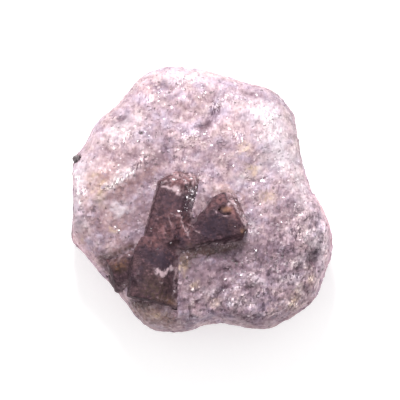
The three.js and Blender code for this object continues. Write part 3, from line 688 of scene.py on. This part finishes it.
def plates(name, source, outward, count, radius, tilt, chance, seed):
    """Thin five-cornered plates strewn over a piece, facing outward, more of them where chance is higher."""
    luck = np.random.default_rng(seed)
    mesh = source.data
    mesh.calc_loop_triangles()
    corners = np.empty(len(mesh.loop_triangles) * 3, np.int64)
    mesh.loop_triangles.foreach_get("vertices", corners)
    corners = corners.reshape(-1, 3)
    spots, _ = places_of(mesh)
    a, b, c = (spots[corners[:, k]] for k in range(3))
    weight = np.linalg.norm(np.cross(b - a, c - a), axis=1) * chance[corners].mean(1)
    chosen = luck.choice(len(corners), count, p=weight / weight.sum())
    share = luck.dirichlet((1, 1, 1), count)
    middle = sum(spots[corners[chosen, k]] * share[:, k : k + 1] for k in range(3))
    normal = np.cross(b - a, c - a)[chosen]
    normal = 0.5 * normal / np.linalg.norm(normal, axis=1)[:, None] + 0.5 * outward[corners[chosen, 0]]
    normal += luck.normal(0, tilt, (count, 3))
    normal /= np.linalg.norm(normal, axis=1)[:, None]
    first = np.cross(normal, luck.normal(0, 1, (count, 3)))
    first /= np.linalg.norm(first, axis=1)[:, None]
    second = np.cross(normal, first)
    size = radius[0] * (radius[1] / radius[0]) ** (luck.random(count) ** 1.8)
    k = PLATE_CORNERS
    turn = (np.arange(k) + luck.uniform(-0.25, 0.25, (count, k))) * 2 * math.pi / k
    reach = size[:, None] * luck.uniform(0.75, 1.15, (count, k))
    rim = first[:, None] * (np.cos(turn) * reach)[..., None]
    rim = rim + second[:, None] * (np.sin(turn) * reach * PLATE_NARROWNESS)[..., None]
    rim += middle[:, None]
    half = normal[:, None] * PLATE_THICKNESS / 2
    points = np.concatenate([rim + half, rim - half], 1).reshape(-1, 3)
    pattern = [tuple(range(k)), tuple(range(2 * k - 1, k - 1, -1))]
    pattern += [(i, i + k, (i + 1) % k + k, (i + 1) % k) for i in range(k)]
    faces = [tuple(v + 2 * k * n for v in face) for n in range(count) for face in pattern]
    strewn = bpy.data.meshes.new(name)
    strewn.from_pydata((points * MM).tolist(), [], faces)
    piece = bpy.data.objects.new(name, strewn)
    bpy.context.scene.collection.objects.link(piece)
    mark(strewn, "tone", np.repeat(luck.random(count), 2 * k))
    for label in source.data.attributes.keys():
        held = source.data.attributes[label]
        if held.domain == "POINT" and held.data_type == "FLOAT":
            values = np.empty(len(spots), np.float32)
            held.data.foreach_get("value", values)
            mark(strewn, label, np.repeat(values[corners[chosen, 0]], 2 * k))
    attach(piece, "root")
    return piece


# More plates lie on the upper face, in clusters, at the lower right, beside the crystals and in the knots.
low_right = np.clip((places[:, 0] - places[:, 1]) / 40, 0, 1)
clusters = np.clip(0.5 + 1.2 * rough(places / 4, 61, 2), 0.05, 2) * (0.25 + np.clip(outward[:, 2], 0, 1))
clusters *= (places[:, 2] > 1.5) * (1 + low_right) * (1 + 3 * bank * (outward[:, 2] > 0.3))
clusters *= 1 + 2.5 * upward * patches(places, MICA_KNOTS_AND_PAINTED_GLINTS, 0.5, 85)
muscovite = plates("muscovite_plates", slab, outward, MUSCOVITE_COUNT, MUSCOVITE_RADIUS, 0.15, clusters, 5)
biotite = plates("biotite_plates", slab, outward, BIOTITE_COUNT, BIOTITE_RADIUS, 0.3, clusters, 6)

silvery, tree, surface = new_material("muscovite plate")
tone = marked(tree, "tone")
# The palest tones are painted whiter still as glints, beyond the mica's own silver.
colour = times(tree, placed(tree, schist_colour)["Color"], ramp(tree, tone, [
    (0.0, (0.78, 0.75, 0.79)), (0.5, (1, 1, 1)), (0.85, (1.12, 1.14, 1.12)), (0.97, (1.24, 1.3, 1.26)),
    (1.0, (1.5, 1.68, 1.6)),
]))
tree.links.new(colour, surface.inputs["Base Color"])
gloss = add(tree, "ShaderNodeMapRange", [tone, 0.35, 0.9, 0.6, 0.14]).outputs[0]
tree.links.new(gloss, surface.inputs["Roughness"])
surface.inputs["Specular IOR Level"].default_value = 0.8
muscovite.data.materials.append(silvery)

dark_mica, tree, surface = new_material("biotite plate")
tree.links.new(ramp(tree, marked(tree, "tone"), [
    (0.0, (0.035, 0.022, 0.026)), (1.0, (0.13, 0.085, 0.10)),
]), surface.inputs["Base Color"])
surface.inputs["Roughness"].default_value = 0.45
biotite.data.materials.append(dark_mica)

# With the plates in place the slab's even mesh is thinned. Its flat, bare underside gives up faces first.
slab.modifiers.new("thinner underside", "DECIMATE").ratio = SLAB_SHARE_KEPT
apply_modifiers(slab)

# ---------------------------------------------------------------- the staurolite twin
# Two six-sided prisms of brown staurolite that grew through each other at about sixty degrees. Their
# faces are dull and pitted, their ends broken, and mica still clings where they were split out.
TWIN_VOXEL = 0.21 * MM
TWIN_EASING = 8
CONTACT_REACH = 1.9
CRYSTAL_PLATE_COUNT = 240
CRYSTAL_PLATE_RADIUS = (0.12, 0.5)
GLITTER_HEIGHT = 20

# Shell-shaped chips: x, y, radius, depth. The first two are the hollow at the free arm's end.
CHIPS = [
    (5.0, -3.9, 1.9, 0.75), (3.6, -2.2, 2.6, 0.4), (11.6, -7.8, 1.3, 0.5), (10.4, -2.6, 1.4, 0.4),
    (-3.0, 1.2, 2.2, 0.5), (-8.8, 2.4, 2.0, 0.35), (-12.8, -2.6, 1.6, 0.25), (-5.4, -24.8, 1.8, 0.4),
    (-4.8, -20.0, 1.3, 0.3), (-16.6, -22.0, 1.6, 0.35), (9.6, -8.4, 1.6, 0.4), (4.4, -10.6, 1.6, 0.3),
    (-16.8, -14.4, 1.8, 0.5), (10.4, -5.4, 1.6, 0.35), (-1.6, -6.4, 1.4, 0.3), (-19.6, -16.0, 1.6, 0.35),
    (-20.6, -19.4, 1.6, 0.35), (-11.6, 3.4, 1.8, 0.3),
]
# Fine cracks, and ribs where the depth is negative: the line, half width, depth.
CRACKS = [
    ([(-6.4, -11.0), (-5.2, -12.4)], 0.35, 0.22), ([(-2.1, -8.7), (0.6, -10.0), (2.8, -11.3)], 0.3, -0.16),
    ([(-12.6, -8.6), (-8.6, -7.4)], 0.3, 0.15), ([(-11.4, -5.8), (-6.2, -6.6)], 0.25, 0.12),
    ([(-10.4, -9.6), (-5.4, -8.6)], 0.25, 0.15), ([(3.3, -4.0), (4.5, -5.3), (6.0, -5.8)], 0.25, -0.2),
    ([(6.2, -4.2), (7.0, -4.0)], 0.6, -0.4), ([(4.2, -3.7), (5.4, -4.7), (6.9, -5.0)], 0.3, 0.5),
    ([(-9.0, -5.0), (-7.6, -6.6), (-7.2, -8.6)], 0.2, -0.18),
    ([(-5.6, -5.4), (-4.6, -8.4), (-3.4, -10.4)], 0.25, -0.22), ([(-4.6, -6.6), (-2.6, -8.0)], 0.2, -0.18),
    ([(-11.0, -7.6), (-9.6, -9.4)], 0.2, -0.15),
]
# Mica that clings to the faces, iron stain, and olive and violet casts.
CLINGING = [
    (-10.9, -18.9, 1, 0.5, -30, 1.1), (-9.8, -19.7, 1.2, 0.5, 0, 1.2), (-8.3, -18.7, 1.2, 0.5, 25, 1.2),
    (-7.4, -17.6, 0.5, 0.6, 0, 1), (-9.9, -21.6, 0.4, 0.3, 0, 0.5), (-8.4, 1.6, 1.5, 0.3, -20, 0.9),
    (-5.6, 0.8, 0.9, 0.8, -20, 1), (-3.6, 2.4, 0.5, 1.2, 30, 0.7), (-8.6, 3.2, 1.6, 0.3, 10, 0.5),
    (-5.6, 4.6, 4.2, 1.5, -8, 0.45), (-2.6, 4, 0.3, 1.6, 15, 0.7), (-1.4, 3.4, 0.3, 1.4, 20, 0.7),
    (6.7, -2.2, 0.5, 1, 10, 1.1), (3.7, -4.7, 1.1, 0.2, -45, 0.8), (5.6, -5.5, 0.9, 0.2, -8, 0.6),
    (8.2, -2.6, 2.8, 0.5, -57, 1.2), (10.3, -6.4, 2.4, 0.7, -62, 1.2), (-4, -8.2, 1.1, 2.2, 25, 0.3),
    (6.9, 0.2, 1.6, 0.3, -25, 0.8), (-4.6, -7.4, 0.2, 2, 20, 0.8), (-3.6, -9.6, 0.2, 1.4, 25, 0.7),
    (-2.4, -7.6, 0.2, 1.2, 50, 0.6), (-7.6, -6.8, 0.2, 1.6, 20, 0.6), (-9.2, -8.8, 1.2, 0.2, -50, 0.5),
    (-5.4, -5.6, 0.7, 0.3, -30, 0.7), (-0.6, -9.4, 1.8, 0.2, -28, 0.5), (-2.6, -4.6, 0.7, 1.2, -30, 0.5),
    (-12.4, -12.2, 0.2, 1.2, 0, 0.4), (-6.6, -21.4, 0.3, 4.4, -4, 0.35), (-8.8, -25.8, 4, 0.5, -14, 0.2),
    (-15.6, -19, 1.2, 4.4, -4, 0.18), (-22.4, -13.8, 1.6, 0.4, 30, 0.4), (-6.8, -5, 0.2, 1.4, 60, 0.5),
    (-10.6, -6, 1, 0.2, 25, 0.45), (-3.5, -0.6, 1.1, 2.9, -22, 0.2), (-7.3, 1.5, 2.4, 1.1, -15, 0.4),
]
STAIN = [
    (7.9, -4.6, 1, 2, 15, 0.6), (-8.6, -2.8, 3, 3.2, -14, 0.2), (-5.6, 4, 5, 1.9, -8, 1),
    (4.3, -1.6, 1.6, 1, 30, 0.9), (1.6, -4, 2.2, 0.9, 45, 0.4), (5.8, 0.6, 2.4, 0.9, -20, 1.4),
    (8, -1.6, 0.7, 2.6, 35, 0.9), (-8.8, -8, 4.6, 3, 15, 0.5), (-4, -8.6, 1.8, 3.2, 20, 0.6),
    (-23.4, -16.8, 0.8, 2.4, 10, 0.9), (10, -5.6, 0.9, 2.6, 30, 0.6), (-18.6, -13.6, 2.8, 0.9, 20, 0.8),
    (-3, -13.6, 2.2, 0.8, 10, 0.5), (-13.4, -2, 0.8, 5, -14, 0.3), (-6, -16, 0.5, 3, -4, 0.4),
    (-12.6, -12, 2.4, 1, 0, 0.5), (-10.6, -11.4, 3, 1.6, 0, 0.3),
]
OCHRE_LUMPS = [
    (6.1, -3.9, 1, 0.7, 0, 1.5), (-20, -17, 1.9, 1.4, 0, 0.8), (10.1, -9.2, 0.6, 0.6, 0, 0.9),
    (-7, -26.2, 2.6, 0.6, -14, 0.5), (-5.6, 0.9, 1, 0.5, 0, 0.3),
]
OLIVE = [
    (-11.6, -22.6, 3, 2.6, 0, 0.7), (10.1, -9.4, 0.7, 0.7, 0, 1.4), (-8.6, -25.6, 4, 0.8, -14, 0.6),
    (-19.8, -18, 1.6, 1.2, 0, 0.7), (-2, -12.6, 3, 0.7, 12, 0.6),
]
VIOLET = [
    (-9.6, -15.4, 3.6, 2.4, 0, 1), (-8.6, -16.8, 1.2, 1.2, 0, 0.8), (-8, -2.2, 2.4, 2.8, -14, 0.75),
    (2.4, -7.8, 4.6, 2.4, 15, 1), (-1.4, -0.6, 1.4, 3.6, -18, 1.2), (-13, 1, 0.6, 3.6, -14, 0.9),
    (6.8, -8, 2.4, 2, 0, 0.6), (-14.8, -20, 0.8, 4, -4, 0.5), (-3.3, -11.6, 1.5, 1.2, 0, 0.9),
    (-1.3, -12.8, 1.7, 0.7, 8, 0.7), (1.1, -10.4, 2, 1.2, 8, 0.5), (-5.2, -11.7, 1.2, 1.2, 0, 1),
]


twin = fine_copy("staurolite_twin", "staurolite_cross", TWIN_VOXEL)
places, _ = places_of(twin.data)
places = eased(twin.data, places, TWIN_EASING)
for x, y, radius, depth in CHIPS:
    hit, facing, _, _ = twin_tree.ray_cast(Vector((x * MM, y * MM, 0.05)), Vector((0, 0, -1)))
    if hit is None:
        continue
    lean = np.array(facing) + (0, 0, 0.3)
    centre = np.array(hit) / MM + lean / np.linalg.norm(lean) * (radius - depth)
    apart = places - centre
    distance = np.linalg.norm(apart, axis=1)
    inside = distance < radius
    places[inside] = centre + apart[inside] / distance[inside, None] * radius
move_to(twin.data, places)
places, outward = places_of(twin.data)
up = np.clip(outward[:, 2] * 2, 0, 1)
height = 0.12 * rough(places / 3.5, 51, 3) + 0.05 * rough(places / 0.9, 55, 2)
wavy = places + 0.4 * np.stack([rough(places / 1.2, 57 + k, 2) for k in range(3)], 1)
for line, half, depth in CRACKS:
    height -= depth * up * np.exp(-((beside(wavy, line) / half) ** 2))
crossing = oval(places, (-8.8, -9.0), (4.6, 3.2), 15)
worn_end = oval(places, (-5.5, 4.0), (5.0, 2.6), -8)
battered = np.clip(crossing + worn_end, 0, 1) * up
height += battered * (0.32 * rough(places / 1.6, 59, 3))
lot, _, edge = grains(places / 1.1, 63)
pits = (lot[:, 0] > 0.72) * np.clip(edge / 0.3, 0, 1)
height -= 0.10 * pits + 0.04 * np.exp(-edge / 0.06)
# Mica clings in its own spots, and as a film where the crystals meet the schist.
slab_tree = tree_of(slab.data)
contact = np.zeros(len(places))
for i, place in enumerate(places):
    near, _, _, distance = slab_tree.find_nearest(Vector(place * MM), CONTACT_REACH * MM)
    if near is not None:
        contact[i] = 1 - distance / (CONTACT_REACH * MM)
film = np.clip(0.4 + 0.8 * rough(places / 1.3, 65, 3), 0, 1) * np.clip(contact * 1.5, 0, 1)
mica = up * patches(places, CLINGING, 0.4, 93, 0.8)
mica = np.clip((mica + 0.25 * rough(places / 0.5, 67, 2) * np.clip(mica * 4, 0, 1) - 0.16) * 1.35, 0, 1)
steep = 1 - np.clip(outward[:, 2] * 1.4 - 0.2, 0, 1)
mica = np.clip(mica + (0.35 + 0.5 * steep) * film, 0, 1)
height += 0.12 * mica
places = places + outward * height[:, None]
move_to(twin.data, places)
# The relief colours the crystals as painted shade in the cracks and pits and painted light on the rises.
mark(twin.data, "painted_relief_shade", np.clip(0.5 + height / 0.7, 0, 1))
mark(twin.data, "mica", mica)
mark(twin.data, "stain", up * patches(places, STAIN, 0.9, 96))
mark(twin.data, "ochre", up * patches(places, OCHRE_LUMPS, 0.5, 99))
mark(twin.data, "olive", up * patches(places, OLIVE, 0.9, 97))
mark(twin.data, "violet", up * patches(places, VIOLET, 0.9, 98))
mark(twin.data, "steep", steep)
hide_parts("staurolite_twin")
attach(twin, "root")

staurolite, tree, surface = new_material("staurolite")
broad = placed(tree, mottling, Size=5.0, Shift=12.0, Contrast=2.5)["Value"]
small = placed(tree, mottling, Size=1.2, Shift=31.0, Contrast=2.6)["Value"]
grain_out = placed(tree, mineral, Size=0.5, Tilt=0.22, Shift=5.0)
body = ramp(tree, broad, [
    (0.15, (0.040, 0.0225, 0.031)), (0.5, (0.058, 0.031, 0.0385)), (0.85, (0.082, 0.045, 0.051)),
])
fine = ramp(tree, small, [(0.1, (0.76, 0.75, 0.78)), (0.5, (1, 1, 1)), (0.9, (1.28, 1.26, 1.25))])
colour = times(tree, body, fine)
flecked = placed(tree, mineral, Size=0.42, Shift=70.0)["Lot"]
colour = times(tree, colour, ramp(tree, flecked, [
    (0.0, (0.66, 0.66, 0.70)), (0.3, (0.94, 0.94, 0.95)), (0.75, (1.06, 1.06, 1.06)), (1.0, (1.7, 1.7, 1.75)),
]))
where = add(tree, "ShaderNodeTexCoord").outputs["Object"]
along = add(tree, "ShaderNodeMapping", {
    "Vector": where, "Rotation": (0, 0, -1.15), "Scale": (420, 2600, 1500),
}).outputs[0]
threads = add(tree, "ShaderNodeTexNoise", {
    "Vector": along, "Scale": 1.0, "Detail": 3.0, "Distortion": 0.6,
}).outputs["Fac"]
colour = times(tree, colour, ramp(tree, threads, [
    (0.3, (0.82, 0.80, 0.82)), (0.5, (1, 1, 1)), (0.62, (1.2, 1.18, 1.18)), (0.75, (1.7, 1.7, 1.7)),
]))
for label, share, tint in (
    ("violet", 0.8, (0.040, 0.026, 0.040)), ("stain", small, (0.185, 0.085, 0.088)),
    ("olive", 0.6, (0.066, 0.043, 0.027)), ("ochre", 0.75, (0.185, 0.095, 0.066)),
):
    colour = washed(tree, colour, label, share, tint)
# Painted shade: the steep faces are painted darker than the upper ones.
steep_face_shade = ramp(tree, marked(tree, "steep"), [(0.2, (1, 1, 1)), (1.0, (0.85, 0.82, 0.85))])
colour = times(tree, colour, steep_face_shade)
colour = washed(tree, colour, "mica", 0.8, (0.44, 0.325, 0.355))
colour = washed(tree, colour, "stain", 0.15, (0.27, 0.125, 0.13))
# Painted shade in the cracks and pits, painted light on the rises.
colour = times(tree, colour, ramp(tree, marked(tree, "painted_relief_shade"), [
    (0.0, (0.3, 0.26, 0.26)), (0.2, (0.62, 0.58, 0.6)), (0.5, (1, 1, 1)), (0.85, (1.25, 1.2, 1.2)),
]))
tree.links.new(colour, surface.inputs["Base Color"])
tree.links.new(grain_out["Normal"], surface.inputs["Normal"])
gloss = add(tree, "ShaderNodeMapRange", [grain_out["Second Lot"], 0.0, 1.0, 0.6, 0.85]).outputs[0]
tree.links.new(gloss, surface.inputs["Roughness"])
surface.inputs["Specular IOR Level"].default_value = 0.15
twin.data.materials.append(staurolite)

# Small mica plates on the crystals, thickest on the upper arm's right face and in the crossing.
glitter = oval(places, (-2.2, 0.0), (1.7, 1.1), 68) + 0.25 * oval(places, (-3.0, -1.6), (3.6, 1.2), 68)
glitter += 0.015 * crossing + 0.08 * mica + 0.001
free_end = oval(places, (5.4, -4.2), (2.2, 1.8), 0)
glitter *= up * (places[:, 2] > GLITTER_HEIGHT) * (1 - free_end)
on_crystals = plates(
    "crystal_plates", twin, outward, CRYSTAL_PLATE_COUNT, CRYSTAL_PLATE_RADIUS, 0.2, glitter, 7
)
bronze, tree, surface = new_material("mica on staurolite")
# The palest tones are painted near white as glints, beyond the plates' own silver.
tree.links.new(ramp(tree, marked(tree, "tone"), [
    (0.0, (0.05, 0.032, 0.042)), (0.6, (0.11, 0.08, 0.095)), (0.8, (0.40, 0.33, 0.36)),
    (1.0, (0.9, 0.84, 0.88)),
]), surface.inputs["Base Color"])
surface.inputs["Roughness"].default_value = 0.3
surface.inputs["Specular IOR Level"].default_value = 0.8
on_crystals.data.materials.append(bronze)

# ---------------------------------------------------------------- the grain in the rim
# A dark mineral grain, worn round, held in the slab's left rim.
GRAIN_VOXEL = 0.12 * MM
GRAIN_EASING = 5
grain = fine_copy("rim_grain", "rim_grain_worn", GRAIN_VOXEL)
places, outward = places_of(grain.data)
places = eased(grain.data, places, GRAIN_EASING) + outward * 0.07 * rough(places / 0.7, 71, 2)[:, None]
move_to(grain.data, places)
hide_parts("rim_grain")
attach(grain, "root")
dark, tree, surface = new_material("dark grain")
small = placed(tree, mottling, Size=0.6, Shift=40.0, Contrast=3.0)["Value"]
colour = ramp(tree, small, [(0.2, (0.07, 0.055, 0.06)), (0.8, (0.20, 0.165, 0.175))])
tree.links.new(colour, surface.inputs["Base Color"])
tree.links.new(placed(tree, mineral, Size=0.4, Tilt=0.4)["Normal"], surface.inputs["Normal"])
surface.inputs["Roughness"].default_value = 0.4
grain.data.materials.append(dark)

# ---------------------------------------------------------------- the table, the light and the camera
# The specimen lies on a white table, under a soft lamp just beyond its far side and an even white sky.
TABLE_SIZE = 3
TABLE_DROP = 0.05 * MM
bpy.ops.mesh.primitive_plane_add(size=TABLE_SIZE)
table = bpy.context.object
table.name = "table"
white, tree, surface = new_material("white table")
surface.inputs["Base Color"].default_value = (0.9, 0.9, 0.9, 1)
surface.inputs["Roughness"].default_value = 0.8
surface.inputs["Emission Color"].default_value = (1, 1, 1, 1)
surface.inputs["Emission Strength"].default_value = 0.35
# It is see-through from below, so that the underside can be looked at.
from_below = add(tree, "ShaderNodeNewGeometry").outputs["Backfacing"]
tree.links.new(math_of(tree, "SUBTRACT", 1.0, from_below), surface.inputs["Alpha"])
table.data.materials.append(white)
table.location.z = -TABLE_DROP
table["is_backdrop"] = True

world = bpy.data.worlds.new("sky")
bpy.context.scene.world = world
world.use_nodes = True
background = world.node_tree.nodes["Background"]
background.inputs["Color"].default_value = (1, 1, 1, 1)
background.inputs["Strength"].default_value = 0.8


LAMP_PLACE = Vector((-0.01, 0.112, 0.14))
LAMP_AIM = Vector((0, 0, 0.015))
light = bpy.data.lights.new("key", "AREA")
light.shape = "DISK"
light.size = 0.07
light.energy = 0.4
light.color = (0.985, 0.99, 0.985)
lamp = bpy.data.objects.new("key", light)
bpy.context.scene.collection.objects.link(lamp)
lamp.location = LAMP_PLACE
lamp.rotation_euler = (LAMP_AIM - LAMP_PLACE).to_track_quat("-Z", "Y").to_euler()

# The camera looks almost straight down.
CAMERA_DISTANCE = 0.6
CAMERA_ELEVATION = math.radians(84)
CAMERA_AIM = Vector((-0.375 * MM, 0.125 * MM, 9 * MM))
FRAME_WIDTH = 100 * MM
SENSOR_WIDTH = 36
camera_data = bpy.data.cameras.new("camera")
camera_data.sensor_width = SENSOR_WIDTH
camera_data.lens = SENSOR_WIDTH * CAMERA_DISTANCE / FRAME_WIDTH
camera_data.clip_start = 0.01
camera = bpy.data.objects.new("camera", camera_data)
bpy.context.scene.collection.objects.link(camera)
back = Vector((0, -math.cos(CAMERA_ELEVATION), math.sin(CAMERA_ELEVATION)))
camera.location = CAMERA_AIM + back * CAMERA_DISTANCE
camera.rotation_euler = back.to_track_quat("Z", "Y").to_euler()
bpy.context.scene.camera = camera
bpy.context.scene.view_settings.view_transform = "Standard"

low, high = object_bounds()
